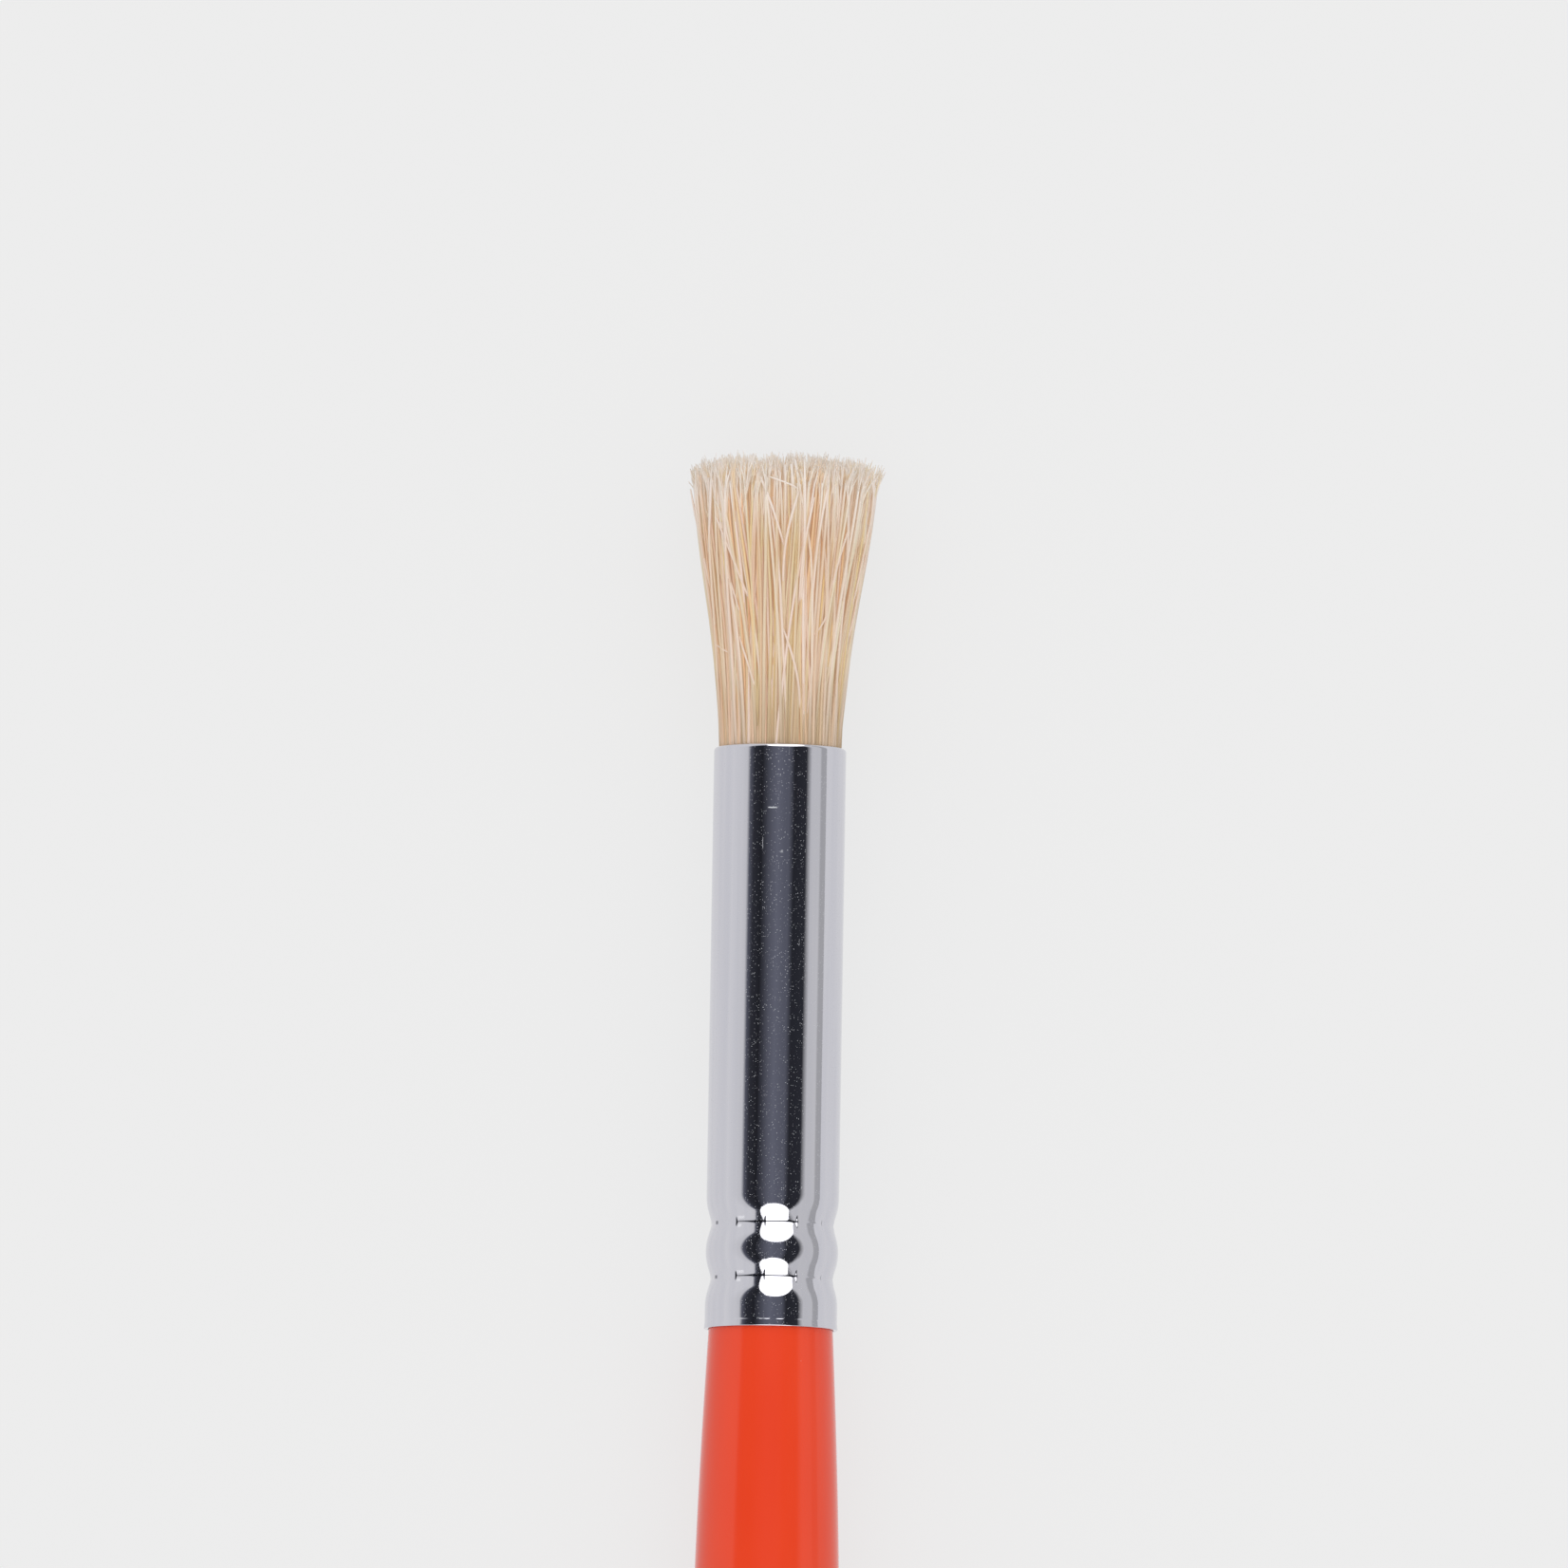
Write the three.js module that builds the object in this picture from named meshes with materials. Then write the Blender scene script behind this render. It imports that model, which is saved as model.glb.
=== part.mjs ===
// A round stencil brush: a flat-cut tuft of hog bristle, a crimped nickel-plated ferrule and a lacquered
// wooden handle. Millimetres, +Z up. The brush lies on its side on z = 0 with its hair towards +Y, and the
// origin is on that surface, below the middle of its bounding box.
//
// Every piece is turned about the brush's own axis. "Station" is the distance along that axis from the
// ferrule's mouth, where the handle goes in: positive towards the hair, negative along the handle.

import * as THREE from "three";

// ---- Driving dimensions -----------------------------------------------------------------------------

const FACETS = 32; // flats round each piece; one of them faces straight down, so that the brush lies still

const FERRULE_LENGTH = 44;
const FERRULE_RADIUS = 5.0;
const FERRULE_WALL = 0.3;
const RIM_ROUNDING = 0.28; // the outer corner at the hair end
const MOUTH_FLARE = 0.05;

const CRIMP_STATIONS = [3.8, 7.9];
const CRIMP_DEPTH = 0.43;
const CRIMP_HALF_WIDTH = 1.86;
const CRIMP_POWER = 1.3; // 1 is a plain V, and more eases its shoulders into the tube
const CRIMP_STEPS = 8; // profile steps across one crimp

const HAIR_LENGTH = 21.5; // out of the ferrule
const HAIR_BASE_RADIUS = 4.7;
const HAIR_TIP_RADIUS = 7.05;
const HAIR_WAVE = 0.07; // how far the side of the flare departs from a straight cone
const HAIR_ROOT_LENGTH = 14; // inside the ferrule
const HAIR_ROOT_RADIUS = 4.2;

const HANDLE_LENGTH = 130; // out of the ferrule
const NECK_RADIUS = 4.69;
const BELLY_RADIUS = 5.55;
const BELLY_DISTANCE = 27; // behind the ferrule
const TAIL_RADIUS = 2.9;
const BUTT_LENGTH = 4; // the rounded end
const LACQUER = 0.15; // thickness of the coat
const LACQUER_OVERLAP = 0.5; // how far the coat runs into the ferrule

const TENON_LENGTH = 26;
const TENON_CHAMFER = 0.7;
const GLUE_LENGTH = 6;
const GLUE_SETBACK = 1; // behind the tenon's chamfered front

const PLUG_DEPTH = 4.5; // how much of the root the resin covers
const PLUG_FLOOR = 1.4; // the resin behind the root ends
const THREAD_TURNS = 4;
const THREAD_DIAMETER = 0.5;
const THREAD_SETBACK = 5; // from the ferrule's rim to the first turn

const BOND_GAP = 0.03; // between the lacquer and the wood
const FIT_GAP = 0.06; // between the other pieces that touch

// ---- Worked out from them ---------------------------------------------------------------------------

const BORE_RADIUS = FERRULE_RADIUS - FERRULE_WALL;
const TIP_STATION = FERRULE_LENGTH + HAIR_LENGTH;
const ROOT_STATION = FERRULE_LENGTH - HAIR_ROOT_LENGTH;
const CORE_INSET = LACQUER + BOND_GAP;
const TENON_RADIUS = NECK_RADIUS - CORE_INSET;
const THREAD_START = FERRULE_LENGTH - THREAD_SETBACK;
const THREAD_LENGTH = THREAD_TURNS * THREAD_DIAMETER;
const THREAD_RADIUS = BORE_RADIUS - FIT_GAP; // outside of the turns
const WAIST_RADIUS = THREAD_RADIUS - THREAD_DIAMETER - FIT_GAP; // the hair that the thread pulls in

// ---- Materials --------------------------------------------------------------------------------------

function material(color, roughness, metalness) {
  return new THREE.MeshStandardMaterial({ color, roughness, metalness });
}

const bristle = material(0xdcc2a0, 0.75, 0);
const nickel = material(0xc6c6ce, 0.12, 1);
const lacquer = material(0xe84626, 0.15, 0);
const wood = material(0xd9b98a, 0.7, 0);
const thread = material(0xe8e2d4, 0.9, 0);
const resin = material(0xb8863c, 0.3, 0);
const glue = material(0xe6dcb4, 0.5, 0);

// ---- Outlines: [radius, station] points -------------------------------------------------------------

// The points of a curve at equal steps from start to end, both included.
function sampled(start, end, steps, pointAt) {
  return Array.from({ length: steps + 1 }, (_, i) => pointAt(start + ((end - start) * i) / steps));
}

// A piece turned from an outline that runs up the outside, from axis to axis or closed on itself.
function turned(name, outline, finish) {
  const points = outline.map(([radius, station]) => new THREE.Vector2(radius, station));
  const mesh = new THREE.Mesh(new THREE.LatheGeometry(points, FACETS, Math.PI / FACETS), finish);
  mesh.name = name;
  return mesh;
}

// Inward travel of the ferrule's wall at a station, where the crimping jaws press it.
function crimpDepth(station) {
  const nearness = CRIMP_STATIONS.map((centre) => 1 - Math.abs(station - centre) / CRIMP_HALF_WIDTH);
  return CRIMP_DEPTH * Math.max(0, ...nearness) ** CRIMP_POWER;
}

// The crimped stretch of a surface, with the same number of points across each crimp.
function acrossCrimps(radiusAt) {
  return CRIMP_STATIONS.flatMap((centre) =>
    sampled(centre - CRIMP_HALF_WIDTH, centre + CRIMP_HALF_WIDTH, CRIMP_STEPS, (station) => [
      radiusAt(station),
      station,
    ]),
  );
}

// Radius of the finished handle at a distance behind the ferrule, up to where the butt begins.
function handleRadius(distance) {
  if (distance < BELLY_DISTANCE) {
    const swell = Math.sin((Math.PI / 2) * (distance / BELLY_DISTANCE));
    return NECK_RADIUS + (BELLY_RADIUS - NECK_RADIUS) * swell;
  }
  const along = (distance - BELLY_DISTANCE) / (HANDLE_LENGTH - BUTT_LENGTH - BELLY_DISTANCE);
  return TAIL_RADIUS + ((BELLY_RADIUS - TAIL_RADIUS) * (1 + Math.cos(Math.PI * along))) / 2;
}

// The handle's surface, or one that lies inset below it, from the middle of the butt up to the ferrule.
function handleOutline(inset) {
  const buttStart = HANDLE_LENGTH - BUTT_LENGTH;
  const at = (distance) => [handleRadius(distance) - inset, -distance];
  const butt = sampled(0, Math.PI / 2, 5, (angle) => [
    (TAIL_RADIUS - inset) * Math.sin(angle),
    -buttStart - (BUTT_LENGTH - inset) * Math.cos(angle),
  ]);
  const tail = sampled(buttStart, BELLY_DISTANCE, 9, at);
  const front = sampled(BELLY_DISTANCE, 0, 6, at);
  return [...butt, ...tail.slice(1), ...front.slice(1)];
}

// Radius of the tuft at a fraction of its free length: a cone with one slow wave in its side.
function hairRadius(along) {
  const widening = along - HAIR_WAVE * Math.sin(2 * Math.PI * along);
  return HAIR_BASE_RADIUS + (HAIR_TIP_RADIUS - HAIR_BASE_RADIUS) * widening;
}

// ---- Pieces -----------------------------------------------------------------------------------------

// One side of the ferrule's wall, from its flared mouth through the crimps.
function ferruleWall(radius) {
  return [[radius + MOUTH_FLARE, 0], ...acrossCrimps((station) => radius - crimpDepth(station))];
}

function ferrule() {
  const rim = sampled(0, Math.PI / 2, 4, (angle) => [
    FERRULE_RADIUS - RIM_ROUNDING * (1 - Math.cos(angle)),
    FERRULE_LENGTH - RIM_ROUNDING * (1 - Math.sin(angle)),
  ]);
  const outside = [...ferruleWall(FERRULE_RADIUS), ...rim];
  const inside = [...ferruleWall(BORE_RADIUS), [BORE_RADIUS, FERRULE_LENGTH]];
  return turned("ferrule", [...outside, ...inside.reverse(), outside[0]], nickel);
}

// The tuft fills the rim where it leaves the ferrule, is narrow under the thread, and ends inside the resin.
function bristleTuft() {
  const shoulder = 0.5; // how soon the hair swells once it is clear of the rim
  const root = [
    [0, ROOT_STATION],
    [HAIR_ROOT_RADIUS, ROOT_STATION],
    [HAIR_ROOT_RADIUS, ROOT_STATION + PLUG_DEPTH],
    [WAIST_RADIUS, THREAD_START - THREAD_LENGTH - FIT_GAP],
    [WAIST_RADIUS, THREAD_START + FIT_GAP],
    [BORE_RADIUS - FIT_GAP, FERRULE_LENGTH - RIM_ROUNDING],
    [BORE_RADIUS - FIT_GAP, FERRULE_LENGTH],
  ];
  const free = sampled(shoulder / HAIR_LENGTH, 1, 9, (along) => [
    hairRadius(along),
    FERRULE_LENGTH + HAIR_LENGTH * along,
  ]);
  return turned("bristle_tuft", [...root, ...free, [0, TIP_STATION]], bristle);
}

// Turns of thread lie side by side, so their outside is a row of half rounds.
function bindingThread() {
  const radius = THREAD_DIAMETER / 2;
  const inner = WAIST_RADIUS + FIT_GAP;
  const middle = THREAD_RADIUS - radius;
  const first = THREAD_START - THREAD_LENGTH;
  const turns = Array.from({ length: THREAD_TURNS }, (_, turn) =>
    sampled(0, Math.PI, 4, (angle) => [
      middle + radius * Math.sin(angle),
      first + THREAD_DIAMETER * turn + radius * (1 - Math.cos(angle)),
    ]).slice(turn === 0 ? 0 : 1),
  ).flat();
  return turned("binding_thread", [[inner, first], ...turns, [inner, THREAD_START], [inner, first]], thread);
}

// A cup of cured resin that holds the ends of the roots and grips the ferrule's bore.
function resinPlug() {
  const outer = BORE_RADIUS - FIT_GAP;
  const inner = HAIR_ROOT_RADIUS + FIT_GAP;
  const floor = ROOT_STATION - FIT_GAP;
  const outline = [
    [0, floor - PLUG_FLOOR],
    [outer, floor - PLUG_FLOOR],
    [outer, ROOT_STATION + PLUG_DEPTH],
    [inner, ROOT_STATION + PLUG_DEPTH],
    [inner, floor],
    [0, floor],
  ];
  return turned("resin_plug", outline, resin);
}

function tenonGlue() {
  const front = TENON_LENGTH - TENON_CHAMFER - GLUE_SETBACK;
  const outer = BORE_RADIUS - FIT_GAP;
  const inner = TENON_RADIUS + FIT_GAP;
  const outline = [
    [inner, front - GLUE_LENGTH],
    [outer, front - GLUE_LENGTH],
    [outer, front],
    [inner, front],
    [inner, front - GLUE_LENGTH],
  ];
  return turned("tenon_glue", outline, glue);
}

// The wood: the handle below its coat, and the tenon with the grooves that the crimps press into it.
function handleCore() {
  const crimped = (station) => Math.min(TENON_RADIUS, BORE_RADIUS - FIT_GAP - crimpDepth(station));
  const tenon = [
    ...acrossCrimps(crimped),
    [TENON_RADIUS, TENON_LENGTH - TENON_CHAMFER],
    [TENON_RADIUS - TENON_CHAMFER, TENON_LENGTH],
    [0, TENON_LENGTH],
  ];
  return turned("handle_core", [...handleOutline(CORE_INSET), ...tenon], wood);
}

// The coat, an open cup over the whole handle that runs a little way into the ferrule.
function handleLacquer() {
  const inside = handleOutline(LACQUER);
  const edge = [
    [NECK_RADIUS, LACQUER_OVERLAP],
    [NECK_RADIUS - LACQUER, LACQUER_OVERLAP],
  ];
  return turned("handle_lacquer", [...handleOutline(0), ...edge, ...inside.reverse()], lacquer);
}

// ---- Assembly ---------------------------------------------------------------------------------------

const brush = new THREE.Group();
brush.add(
  ferrule(),
  bristleTuft(),
  bindingThread(),
  resinPlug(),
  tenonGlue(),
  handleCore(),
  handleLacquer(),
);

// The brush rests on the rim of its hair and on its belly, so its axis rises slightly towards the hair.
const flatHeight = Math.cos(Math.PI / FACETS); // distance of a flat from the axis, per unit of radius
const slopes = handleOutline(0).map(
  ([radius, station]) => (flatHeight * (HAIR_TIP_RADIUS - radius)) / (TIP_STATION - station),
);
brush.rotation.x = Math.atan(Math.min(...slopes));

// Down onto z = 0, with the middle of its box over the origin.
const box = new THREE.Box3().setFromObject(brush, true);
const middle = box.getCenter(new THREE.Vector3());
brush.position.set(-middle.x, -middle.y, -box.min.z);

const stencilBrush = new THREE.Group();
stencilBrush.add(brush);

export default stencilBrush;
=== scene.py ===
"""A round stencil brush: hog bristle in a crimped nickel ferrule, on a lacquered handle.

Shapes are worked out in millimetres on the brush's own line. "Station" is the distance along that line from
the ferrule's mouth, positive towards the hair. "Angle" goes round it, from straight up towards +X. placed()
turns them into metres in the frame, where every mesh is made.
"""

import math

import bpy
import numpy as np
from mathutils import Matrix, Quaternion, Vector


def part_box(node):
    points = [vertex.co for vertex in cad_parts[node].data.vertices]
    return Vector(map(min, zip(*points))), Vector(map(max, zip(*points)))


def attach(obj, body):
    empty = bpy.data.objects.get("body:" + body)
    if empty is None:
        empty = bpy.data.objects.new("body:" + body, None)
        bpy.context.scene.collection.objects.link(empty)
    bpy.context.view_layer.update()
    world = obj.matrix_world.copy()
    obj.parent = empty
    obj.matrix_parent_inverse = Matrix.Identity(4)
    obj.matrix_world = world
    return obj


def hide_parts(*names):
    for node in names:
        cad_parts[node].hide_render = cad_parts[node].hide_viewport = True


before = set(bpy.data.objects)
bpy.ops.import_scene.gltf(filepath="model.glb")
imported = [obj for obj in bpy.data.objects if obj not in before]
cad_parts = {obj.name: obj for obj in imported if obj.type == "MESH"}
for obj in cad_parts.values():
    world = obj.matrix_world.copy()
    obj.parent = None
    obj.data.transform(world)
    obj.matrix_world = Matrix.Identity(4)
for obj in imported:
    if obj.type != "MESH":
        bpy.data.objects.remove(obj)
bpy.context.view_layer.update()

# ---- Driving dimensions, in millimetres --------------------------------------------------------------

MM = 0.001
THREAD_MIDDLE = 38.0  # stations of two turned nodes, which give the brush's line
GLUE_MIDDLE = 21.3

FERRULE_LENGTH = 44.0
FERRULE_RADIUS = 5.0
FERRULE_WALL = 0.3
RIM_ROUNDING = 0.28
MOUTH_FLARE = 0.05
MOUTH_ROUNDING = 0.07
BEND_STATION = 0.55  # where the mouth starts to flare, marked by a fine scored line

CRIMP_STATIONS = (3.8, 7.9)
CRIMP_DEPTH = 0.43
CRIMP_HALF_WIDTH = 2.05
CRIMP_SHOULDER = 0.6  # share of each half over which the wall bends, before it runs straight to the crease
CREASE_ROUNDING = 0.04
JAWS = 12  # fingers of the crimping tool, each pressing its own stretch of the groove
FIRST_SEAM = math.radians(-36.0)  # from straight up
# How much metal stands up at each seam between two jaws, from the first seam on round the tube.
SEAM_HEIGHTS = (1.0, 0.3, 0.6, 0.4, 0.5, 0.9, 0.5, 0.8, 0.4, 0.6, 0.7, 0.6)

HANDLE_LENGTH = 130.0
NECK_RADIUS = 4.69
BELLY_RADIUS = 5.55
BELLY_DISTANCE = 27.0
TAIL_RADIUS = 2.9
BUTT_LENGTH = 4.0
LACQUER = 0.15
LACQUER_OVERLAP = 0.5

HAIR_LENGTH = 21.5
HAIR_BASE_RADIUS = 4.7
HAIR_TIP_RADIUS = 7.05
HAIR_WAVE = 0.07  # share of the flare by which the side lies inside a straight cone below, and outside above
HAIR_WAIST = 0.3  # how far its hairs are drawn in halfway up
HAIR_ROOT_LENGTH = 14.0
HAIR_COUNT = 2400
HAIR_THICKNESS = (0.13, 0.29)
OUTWARD_CROWDING = 0.36  # 0.5 spreads the hairs evenly over the tuft, and less crowds them to its side
HEART_DEPTH = 0.75  # how deep under the tuft's side its solid heart begins
FREE_RINGS = 10  # points along the free length of each hair

SEED = 29
LIGHT_BOUNCES = 12  # enough for light to reach down between pale hairs

# ---- The brush's line ----------------------------------------------------------------------------------


def box_middle(node):
    low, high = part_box(node)
    return (low + high) / 2


AXIS = (box_middle("binding_thread") - box_middle("tenon_glue")).normalized()
MOUTH = box_middle("binding_thread") - AXIS * (THREAD_MIDDLE * MM)
SIDE = Vector((1, 0, 0))
UP = SIDE.cross(AXIS)


def placed(across, station, height):
    """Points given across, along and above the brush's line, as metres in the frame."""
    across, station, height = np.broadcast_arrays(across, station, height)
    offset = across[..., None] * np.array(SIDE) + station[..., None] * np.array(AXIS)
    return np.array(MOUTH) + MM * (offset + height[..., None] * np.array(UP))


# ---- Mesh helpers --------------------------------------------------------------------------------------


def mesh_object(name, points, faces, smooth=True):
    mesh = bpy.data.meshes.new(name)
    mesh.from_pydata(points.reshape(-1, 3).tolist(), [], faces)
    mesh.polygons.foreach_set("use_smooth", [smooth] * len(mesh.polygons))
    mesh.update()
    piece = bpy.data.objects.new(name, mesh)
    bpy.context.scene.collection.objects.link(piece)
    return piece


def round_angles(sides):
    """Angles all the way round, evenly spaced."""
    return np.linspace(0, 2 * math.pi, sides, endpoint=False)


def skin_faces(rings, sides, hollow=False):
    """Faces of a closed skin of rings. A hollow one runs back into its first ring, and others are capped."""
    faces = []
    for ring in range(rings if hollow else rings - 1):
        this = ring * sides
        following = (ring + 1) % rings * sides
        for side in range(sides):
            beside = (side + 1) % sides
            faces.append((this + side, this + beside, following + beside, following + side))
    if not hollow:
        faces.append(tuple(reversed(range(sides))))
        faces.append(tuple(range((rings - 1) * sides, rings * sides)))
    return faces


def turned(name, radius, station, angles, hollow=False):
    """A turned skin. radius and station have a row for each ring, and one column or one for each angle."""
    points = placed(radius * np.sin(angles), station, radius * np.cos(angles))
    return mesh_object(name, points, skin_faces(len(radius), len(angles), hollow))


def finished(piece, material, slot, *replaced):
    """Gives a piece its material, and lets it ride in place of its CAD nodes. slot is not used."""
    piece.data.materials.append(material)
    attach(piece, "root")
    if replaced:
        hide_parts(*replaced)
    return piece


# ---- Material helpers ----------------------------------------------------------------------------------


def linear(red, green, blue):
    """A display colour of 0 to 255 as the linear colour that a shader takes."""
    parts = [c / 255 for c in (red, green, blue)]
    return [c / 12.92 if c <= 0.04045 else ((c + 0.055) / 1.055) ** 2.4 for c in parts] + [1.0]


def grey(level):
    return (level, level, level, 1.0)


def add(tree, kind, inputs=None, **settings):
    """A new node. inputs go by name or number, and each is a value or another node's socket to link from."""
    made = tree.nodes.new(kind)
    for name, value in settings.items():
        setattr(made, name, value)
    for name, value in (inputs or {}).items():
        if isinstance(value, bpy.types.NodeSocket):
            tree.links.new(value, made.inputs[name])
        else:
            made.inputs[name].default_value = value
    return made


def new_material(name):
    """A material with one plain Principled shader, as (material, its tree, the shader)."""
    material = bpy.data.materials.new(name)
    material.use_nodes = True
    tree = material.node_tree
    return material, tree, tree.nodes["Principled BSDF"]


def math_node(tree, operation, first, second=0.0, clamp=False):
    inputs = {0: first, 1: second}
    return add(tree, "ShaderNodeMath", inputs, operation=operation, use_clamp=clamp).outputs[0]


def ramp_down(tree, value, start, end):
    """1 where value is under start, 0 where it is over end, and smooth between."""
    inputs = {"Value": value, "From Min": start, "From Max": end, "To Min": 1.0, "To Max": 0.0}
    return add(tree, "ShaderNodeMapRange", inputs, interpolation_type="SMOOTHSTEP").outputs["Result"]


def mixed(tree, factor, first, second):
    """The second colour over the first by factor."""
    inputs = {0: factor, 6: first, 7: second}
    return add(tree, "ShaderNodeMix", inputs, data_type="RGBA").outputs[2]


def colour_ramp(tree, factor, stops):
    """The colour at factor between stops, each a position from 0 to 1 and a colour."""
    ramp = add(tree, "ShaderNodeValToRGB", {"Fac": factor})
    elements = ramp.color_ramp.elements
    while len(elements) < len(stops):
        elements.new(0.5)
    for element, (position, colour) in zip(elements, stops):
        element.position = position
        element.color = colour
    return ramp.outputs["Color"]


def brush_place(tree):
    """The shaded point in the brush's own millimetres: x across, y the station, z above its line."""
    tilt = math.atan2(AXIS.z, AXIS.y)
    turn = Quaternion((1, 0, 0), -tilt)
    coordinates = add(tree, "ShaderNodeTexCoord")
    inputs = {
        "Vector": coordinates.outputs["Object"],
        "Location": turn @ MOUTH / -MM,
        "Rotation": (-tilt, 0, 0),
        "Scale": (1 / MM,) * 3,
    }
    return add(tree, "ShaderNodeMapping", inputs, vector_type="POINT").outputs["Vector"]


def stretched(tree, place, scale):
    """The place with its directions scaled, each by its own factor."""
    inputs = {"Vector": place, "Scale": scale}
    return add(tree, "ShaderNodeMapping", inputs, vector_type="POINT").outputs["Vector"]


def noise(tree, place, scale, detail=2.0, roughness=0.5):
    """Noise around 0.5, with features about 1 / scale millimetres across. scale may differ by direction."""
    if not isinstance(scale, (int, float)):
        place, scale = stretched(tree, place, scale), 1.0
    inputs = {"Vector": place, "Scale": scale, "Detail": detail, "Roughness": roughness}
    return add(tree, "ShaderNodeTexNoise", inputs).outputs["Fac"]


def ranged(tree, value, low, high, start=0.3, end=0.7):
    """Value from start..end to low..high, clamped."""
    inputs = {"Value": value, "From Min": start, "From Max": end, "To Min": low, "To Max": high}
    return add(tree, "ShaderNodeMapRange", inputs).outputs["Result"]


def specks(tree, place, spacing, size, share):
    """A mask of round specks, up to size across: one in each of a share of the cells of that spacing."""
    cells = add(tree, "ShaderNodeTexVoronoi", {"Vector": place, "Scale": 1 / spacing})
    pick = add(tree, "ShaderNodeSeparateColor", {"Color": cells.outputs["Color"]})
    radius = size / spacing / 2
    present = math_node(tree, "LESS_THAN", pick.outputs["Red"], share)
    near = ramp_down(tree, cells.outputs["Distance"], radius * 0.5, radius)
    return math_node(tree, "MULTIPLY", present, near)


def mark(tree, place, across, station, half_across, half_station, softness=0.5):
    """A mask of one small mark on the brush's upper side. softness is the share of it that fades out."""
    parts = add(tree, "ShaderNodeSeparateXYZ", {"Vector": place})
    mask = math_node(tree, "GREATER_THAN", parts.outputs["Z"], 0.0)
    for axis, middle, half in (("X", across, half_across), ("Y", station, half_station)):
        away = math_node(tree, "ABSOLUTE", math_node(tree, "SUBTRACT", parts.outputs[axis], middle))
        mask = math_node(tree, "MULTIPLY", mask, ramp_down(tree, away, half * (1 - softness), half))
    return mask


def bump(tree, height, depth):
    """A normal from a height of 0 to 1 that stands for depth millimetres."""
    inputs = {"Height": height, "Distance": depth * MM, "Strength": 1.0}
    return add(tree, "ShaderNodeBump", inputs).outputs["Normal"]


# ---- Materials -----------------------------------------------------------------------------------------


def seam_across(number):
    """How far across the brush a seam between two jaws lies in a crease. Seam 0 is the first one."""
    crease_radius = FERRULE_RADIUS - CRIMP_DEPTH
    return crease_radius * math.sin(FIRST_SEAM + 2 * math.pi / JAWS * number)


def handling_marks(tree, place):
    """A mask of three marks near the rim: a bright scratch across, a faint scuff along and a faint dent."""
    scratch = mark(tree, place, -0.5, 39.1, 0.44, 0.065)
    scuff = mark(tree, place, -1.2, 36.4, 0.04, 0.6)
    dent = mark(tree, place, 0.25, 35.8, 0.12, 0.14)
    mask = 0.0
    for shape, strength in ((scratch, 0.75), (scuff, 0.35), (dent, 0.35)):
        mask = math_node(tree, "ADD", math_node(tree, "MULTIPLY", shape, strength), mask, clamp=True)
    return mask


def seam_painted_glints(tree, place):
    """A mask of painted highlights beside the first seam, one on each side of both creases: white glints
    standing for light caught by the metal there.
    """
    strength = 0.7
    mask = 0.0
    for crimp in CRIMP_STATIONS:
        ahead = mark(tree, place, seam_across(0) + 0.32, crimp + 0.3, 0.34, 0.13)
        behind = mark(tree, place, seam_across(0) + 0.2, crimp - 0.32, 0.2, 0.15)
        for glint in (ahead, behind):
            mask = math_node(tree, "MAXIMUM", glint, mask)
    return math_node(tree, "MULTIPLY", mask, strength)


def crease_painted_shade(tree, place):
    """A mask of painted shade along the creases and at the seams between the jaws, on the upper side: dark
    marks standing for the shade and dark reflections there.
    """
    before, first, third = seam_across(-1), seam_across(0), seam_across(2)
    mask = 0.0
    for crimp in CRIMP_STATIONS:
        pit = mark(tree, place, before, crimp, 0.12, 0.17)
        tick = mark(tree, place, first - 0.02, crimp, 0.06, 0.4)
        line = mark(tree, place, (first + third) / 2, crimp, (third - first) / 2, 0.055, softness=0.1)
        dot = mark(tree, place, third, crimp, 0.12, 0.13)
        for shape, share in ((pit, 0.7), (tick, 0.85), (line, 0.75), (dot, 0.8)):
            mask = math_node(tree, "MAXIMUM", math_node(tree, "MULTIPLY", shape, share), mask)
    return mask


def nickel_material():
    """Bright nickel plate with drawing lines, dust and handling marks, and painted highlights and painted
    shade at the crimps.
    """
    grey_plate, bright_plate = (0.62, 0.62, 0.68, 1), (0.68, 0.675, 0.725, 1)
    # The second colour is painted on as highlights beside the first seam.
    dust_colour, painted_glint_colour = (0.6, 0.62, 0.65, 1), (0.88, 0.88, 0.93, 1)
    # A dark colour painted on as shade in the creases and at the seams.
    painted_shade_colour = (0.08, 0.08, 0.1, 1)
    material, tree, shader = new_material("nickel_plate")
    place = brush_place(tree)
    drawn = noise(tree, place, (1.3, 0.02, 1.3), detail=3.0)
    cloudy = noise(tree, place, 0.35)
    dust = specks(tree, place, spacing=0.15, size=0.082, share=0.6)
    dust = math_node(tree, "MULTIPLY", dust, ranged(tree, noise(tree, place, 1.3), 0.07, 0.72))
    marks = math_node(tree, "ADD", handling_marks(tree, place), dust, clamp=True)
    painted_glints = seam_painted_glints(tree, place)
    plate = mixed(tree, ranged(tree, drawn, 0.0, 1.0), grey_plate, bright_plate)
    # Painted highlights: white glints beside the first seam.
    colour = mixed(tree, painted_glints, mixed(tree, marks, plate, dust_colour), painted_glint_colour)
    # Painted shade: dark marks along the creases and at the seams.
    colour = mixed(tree, crease_painted_shade(tree, place), colour, painted_shade_colour)
    dulled = math_node(tree, "MAXIMUM", marks, painted_glints)
    tree.links.new(colour, shader.inputs["Base Color"])
    tree.links.new(math_node(tree, "SUBTRACT", 1.0, dulled), shader.inputs["Metallic"])
    smooth = ranged(tree, cloudy, 0.035, 0.07)
    rough = math_node(tree, "ADD", smooth, math_node(tree, "MULTIPLY", dulled, 0.5))
    tree.links.new(rough, shader.inputs["Roughness"])
    tree.links.new(bump(tree, cloudy, 0.002), shader.inputs["Normal"])
    return material


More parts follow.
